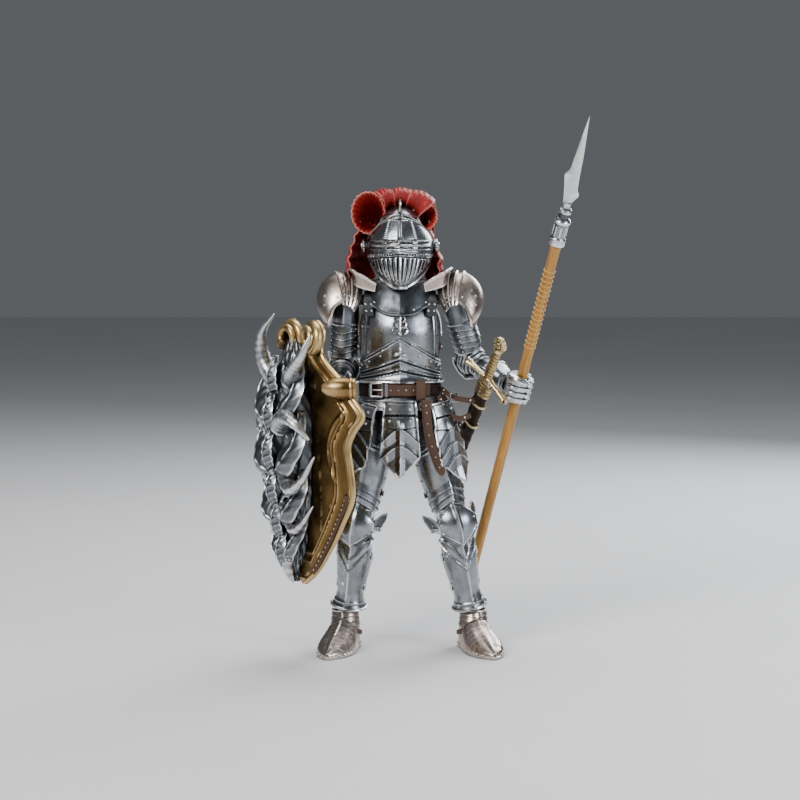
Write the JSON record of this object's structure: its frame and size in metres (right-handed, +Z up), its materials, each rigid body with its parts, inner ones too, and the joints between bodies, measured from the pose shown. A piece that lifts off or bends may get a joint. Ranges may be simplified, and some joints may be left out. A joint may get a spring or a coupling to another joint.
{
  "type": "articulated armoured knight figure",
  "caption": "Standing plate-armoured knight figure with red crest, holding a long spear and a heater shield, with a sheathed sword at the hip and jointed limbs.",
  "frame": {"origin": "on the floor, under the middle of the figure's bounding box", "axes": "+Z up; the figure faces -Y; +X is the figure's own left, the spear side"},
  "size_m": [0.1142, 0.075, 0.1947],
  "materials": {
    "polished_steel": "polished plate with dark wash in the recesses",
    "warm_steel": "warm pale plate",
    "dark_steel": "gunmetal",
    "core_plastic": "matt",
    "leather": "worn, semi-matt",
    "brass": "antique brass paint",
    "bronze": "antique bronze paint",
    "relief_silver": "antique silver paint",
    "wood": "grained, satin",
    "red_crest": "painted red with pale edges",
    "skin": "matt"
  },
  "bodies": {
    "pelvis": {"pelvis_core": "core_plastic", "belt": "leather", "belt_buckle": "brass", "fauld": "polished_steel", "rear_tasset": "polished_steel", "scabbard": "leather", "scabbard_straps": "leather"},
    "waist_link": {"waist_joint": "core_plastic"},
    "torso": {"torso_core": "core_plastic", "breastplate": "polished_steel", "backplate": "polished_steel", "gorget": "dark_steel"},
    "neck_link": {"neck_joint": "core_plastic"},
    "helmet": {"head": "skin", "helmet_skull": "polished_steel", "mantling": "red_crest", "visor_pivots": "polished_steel"},
    "face_guard": {"visor": "polished_steel"},
    "front_tasset_plate": {"front_tasset": "polished_steel"},
    "right_shoulder_link": {"right_shoulder_joint": "core_plastic"},
    "right_arm": {"right_upper_arm": "polished_steel", "right_elbow_pin": "dark_steel"},
    "right_pauldron_plate": {"right_pauldron": "warm_steel"},
    "right_forearm_part": {"right_forearm": "polished_steel"},
    "right_elbow_cop": {"right_elbow_guard": "polished_steel"},
    "right_wrist_link": {"right_wrist_joint": "core_plastic"},
    "right_fist": {"right_hand": "polished_steel"},
    "left_shoulder_link": {"left_shoulder_joint": "core_plastic"},
    "left_arm": {"left_upper_arm": "polished_steel", "left_elbow_pin": "dark_steel"},
    "left_pauldron_plate": {"left_pauldron": "warm_steel"},
    "left_forearm_part": {"left_forearm": "polished_steel"},
    "left_elbow_cop": {"left_elbow_guard": "polished_steel"},
    "left_wrist_link": {"left_wrist_joint": "core_plastic"},
    "left_fist": {"left_hand": "polished_steel"},
    "right_hip_link": {"right_hip_joint": "core_plastic"},
    "right_thigh_part": {"right_thigh": "polished_steel", "right_knee_pin": "dark_steel"},
    "right_shin_part": {"right_shin": "polished_steel"},
    "right_knee_cop": {"right_knee_guard": "polished_steel"},
    "right_ankle_link": {"right_ankle_joint": "core_plastic"},
    "right_shoe": {"right_foot": "polished_steel"},
    "right_tasset_plate": {"right_tasset": "polished_steel"},
    "left_hip_link": {"left_hip_joint": "core_plastic"},
    "left_thigh_part": {"left_thigh": "polished_steel", "left_knee_pin": "dark_steel"},
    "left_shin_part": {"left_shin": "polished_steel"},
    "left_knee_cop": {"left_knee_guard": "polished_steel"},
    "left_ankle_link": {"left_ankle_joint": "core_plastic"},
    "left_shoe": {"left_foot": "polished_steel"},
    "left_tasset_plate": {"left_tasset": "polished_steel"},
    "belt_strap": {"belt_tail": "leather"},
    "sword": {"sword_blade": "polished_steel", "sword_hilt": "brass"},
    "spear": {"spear_shaft": "wood", "spear_head": "polished_steel"},
    "shield": {"shield_board": "bronze", "shield_relief": "relief_silver", "shield_handle": "leather"}
  },
  "joints": [
    {"name": "waist_turn", "type": "hinge", "parent": "pelvis", "child": "waist_link", "pos_m": [-0.00835, 0.00849, 0.094], "axis": [0, 0, 1], "range_deg": [-4, 22]},
    {"name": "torso_lean", "type": "hinge", "parent": "waist_link", "child": "torso", "pos_m": [-0.00835, 0.00849, 0.107], "axis": [1, 0, 0], "range_deg": [-6, 10]},
    {"name": "neck_nod", "type": "hinge", "parent": "torso", "child": "neck_link", "pos_m": [-0.00835, 0.01049, 0.1315], "axis": [1, 0, 0], "range_deg": [-12, 5]},
    {"name": "head_turn", "type": "hinge", "parent": "neck_link", "child": "helmet", "pos_m": [-0.00835, 0.00949, 0.1415], "axis": [0, 0, 1], "range_deg": [-18, 18]},
    {"name": "visor_lift", "type": "hinge", "parent": "helmet", "child": "face_guard", "pos_m": [-0.00835, 0.00849, 0.15], "axis": [-1, 0, 0], "range_deg": [0, 34]},
    {"name": "right_shoulder_swing", "type": "hinge", "parent": "torso", "child": "right_shoulder_link", "pos_m": [-0.02815, 0.00949, 0.13], "axis": [-1, 0, 0], "range_deg": [-5, 16]},
    {"name": "right_shoulder_raise", "type": "hinge", "parent": "right_shoulder_link", "child": "right_arm", "pos_m": [-0.02815, 0.00949, 0.13], "axis": [0, 1, 0], "range_deg": [0, 30]},
    {"name": "right_pauldron_lift", "type": "hinge", "parent": "torso", "child": "right_pauldron_plate", "pos_m": [-0.02125, 0.00949, 0.1348], "axis": [0, 1, 0], "range_deg": [0, 20]},
    {"name": "right_elbow_bend", "type": "hinge", "parent": "right_arm", "child": "right_forearm_part", "pos_m": [-0.02935, 0.01449, 0.104], "axis": [-0.9864, 0.1466, 0.0737], "range_deg": [-10, 30]},
    {"name": "right_elbow_guard_turn", "type": "hinge", "parent": "right_arm", "child": "right_elbow_cop", "pos_m": [-0.02935, 0.01449, 0.104], "axis": [-0.9864, 0.1466, 0.0737], "range_deg": [-10, 20]},
    {"name": "right_wrist_turn", "type": "hinge", "parent": "right_forearm_part", "child": "right_wrist_link", "pos_m": [-0.03218, -0.0009, 0.09678], "axis": [-0.164, -0.893, -0.4192], "range_deg": [-12, 12]},
    {"name": "right_wrist_bend", "type": "hinge", "parent": "right_wrist_link", "child": "right_fist", "pos_m": [-0.03293, -0.00501, 0.09485], "axis": [-0.9864, 0.1466, 0.0737], "range_deg": [-10, 10]},
    {"name": "left_shoulder_swing", "type": "hinge", "parent": "torso", "child": "left_shoulder_link", "pos_m": [0.01145, 0.00949, 0.13], "axis": [-1, 0, 0], "range_deg": [-12, 4]},
    {"name": "left_shoulder_raise", "type": "hinge", "parent": "left_shoulder_link", "child": "left_arm", "pos_m": [0.01145, 0.00949, 0.13], "axis": [0, -1, 0], "range_deg": [0, 30]},
    {"name": "left_pauldron_lift", "type": "hinge", "parent": "torso", "child": "left_pauldron_plate", "pos_m": [0.00455, 0.00949, 0.1348], "axis": [0, -1, 0], "range_deg": [0, 20]},
    {"name": "left_elbow_bend", "type": "hinge", "parent": "left_arm", "child": "left_forearm_part", "pos_m": [0.01865, 0.01949, 0.107], "axis": [-0.7591, -0.4757, -0.4444], "range_deg": [-20, 8]},
    {"name": "left_elbow_guard_turn", "type": "hinge", "parent": "left_arm", "child": "left_elbow_cop", "pos_m": [0.01865, 0.01949, 0.107], "axis": [-0.7591, -0.4757, -0.4444], "range_deg": [-10, 20]},
    {"name": "left_wrist_turn", "type": "hinge", "parent": "left_forearm_part", "child": "left_wrist_link", "pos_m": [0.02875, 0.00866, 0.10134], "axis": [0.6371, -0.6832, -0.3569], "range_deg": [-6, 20]},
    {"name": "left_wrist_bend", "type": "hinge", "parent": "left_wrist_link", "child": "left_fist", "pos_m": [0.03168, 0.00552, 0.0997], "axis": [-0.7591, -0.4757, -0.4444], "range_deg": [-15, 15]},
    {"name": "right_hip_swing", "type": "hinge", "parent": "pelvis", "child": "right_hip_link", "pos_m": [-0.01815, 0.00849, 0.089], "axis": [-1, 0, 0], "range_deg": [-12, 30]},
    {"name": "right_hip_spread", "type": "hinge", "parent": "right_hip_link", "child": "right_thigh_part", "pos_m": [-0.01815, 0.00849, 0.089], "axis": [0, 1, 0], "range_deg": [-5, 10]},
    {"name": "right_knee_bend", "type": "hinge", "parent": "right_thigh_part", "child": "right_shin_part", "pos_m": [-0.02385, 0.00599, 0.0475], "axis": [0.9635, -0.2214, -0.1503], "range_deg": [0, 70]},
    {"name": "right_knee_guard_turn", "type": "hinge", "parent": "right_thigh_part", "child": "right_knee_cop", "pos_m": [-0.02385, 0.00599, 0.0475], "axis": [0.9635, -0.2214, -0.1503], "range_deg": [0, 40]},
    {"name": "right_ankle_pitch", "type": "hinge", "parent": "right_shin_part", "child": "right_ankle_link", "pos_m": [-0.02885, 0.01149, 0.016], "axis": [0.9744, -0.225, 0], "range_deg": [-15, 20]},
    {"name": "right_ankle_rock", "type": "hinge", "parent": "right_ankle_link", "child": "right_shoe", "pos_m": [-0.02885, 0.01149, 0.0094], "axis": [0.225, 0.9744, 0], "range_deg": [-12, 12]},
    {"name": "right_tasset_lift", "type": "hinge", "parent": "pelvis", "child": "right_tasset_plate", "pos_m": [-0.02345, 0.00109, 0.0928], "axis": [-0.5299, 0.848, 0], "range_deg": [-15, 30]},
    {"name": "left_hip_swing", "type": "hinge", "parent": "pelvis", "child": "left_hip_link", "pos_m": [0.00145, 0.00849, 0.089], "axis": [-1, 0, 0], "range_deg": [-8, 14]},
    {"name": "left_hip_spread", "type": "hinge", "parent": "left_hip_link", "child": "left_thigh_part", "pos_m": [0.00145, 0.00849, 0.089], "axis": [0, -1, 0], "range_deg": [-5, 6]},
    {"name": "left_knee_bend", "type": "hinge", "parent": "left_thigh_part", "child": "left_shin_part", "pos_m": [0.01115, 0.00599, 0.0475], "axis": [0.9368, 0.2567, 0.2377], "range_deg": [0, 18]},
    {"name": "left_knee_guard_turn", "type": "hinge", "parent": "left_thigh_part", "child": "left_knee_cop", "pos_m": [0.01115, 0.00599, 0.0475], "axis": [0.9368, 0.2567, 0.2377], "range_deg": [0, 40]},
    {"name": "left_ankle_pitch", "type": "hinge", "parent": "left_shin_part", "child": "left_ankle_link", "pos_m": [0.01915, 0.01149, 0.016], "axis": [0.9659, 0.2588, 0], "range_deg": [-15, 20]},
    {"name": "left_ankle_rock", "type": "hinge", "parent": "left_ankle_link", "child": "left_shoe", "pos_m": [0.01915, 0.01149, 0.0094], "axis": [-0.2588, 0.9659, 0], "range_deg": [-12, 12]},
    {"name": "left_tasset_lift", "type": "hinge", "parent": "pelvis", "child": "left_tasset_plate", "pos_m": [0.00675, 0.00109, 0.0928], "axis": [-0.5299, -0.848, 0], "range_deg": [-15, 30]},
    {"name": "front_tasset_lift", "type": "hinge", "parent": "pelvis", "child": "front_tasset_plate", "pos_m": [-0.00835, -0.00331, 0.0936], "axis": [-1, 0, 0], "range_deg": [-15, 40]},
    {"name": "belt_tail_lift", "type": "hinge", "parent": "pelvis", "child": "belt_strap", "pos_m": [0.00105, -0.00381, 0.0942], "axis": [-1, 0, 0], "range_deg": [-15, 40]},
    {"name": "sword_draw", "type": "slide", "parent": "pelvis", "child": "sword", "axis": [0.2199, -0.6797, 0.6997], "range_m": [0, 0.058]},
    {"name": "spear_slide", "type": "slide", "parent": "left_fist", "child": "spear", "axis": [0.2051, -0.3635, 0.9087], "range_m": [-0.012, 0.028]},
    {"name": "shield_turn", "type": "hinge", "parent": "right_fist", "child": "shield", "pos_m": [-0.03385, -0.01001, 0.0925], "axis": [0, 0, 1], "range_deg": [-8, 8]}
  ],
  "couplings": [
    {"joint": "right_pauldron_lift", "follows": "right_shoulder_raise", "ratio": 0.5},
    {"joint": "right_elbow_guard_turn", "follows": "right_elbow_bend", "ratio": 0.5},
    {"joint": "left_pauldron_lift", "follows": "left_shoulder_raise", "ratio": 0.5},
    {"joint": "left_elbow_guard_turn", "follows": "left_elbow_bend", "ratio": 0.5},
    {"joint": "right_knee_guard_turn", "follows": "right_knee_bend", "ratio": 0.5},
    {"joint": "right_tasset_lift", "follows": "right_hip_swing", "ratio": 0.5},
    {"joint": "left_knee_guard_turn", "follows": "left_knee_bend", "ratio": 0.5},
    {"joint": "left_tasset_lift", "follows": "left_hip_swing", "ratio": 0.5},
    {"joint": "front_tasset_lift", "follows": "right_hip_swing", "ratio": 0.7},
    {"joint": "belt_tail_lift", "follows": "left_hip_swing", "ratio": 0.9}
  ]
}
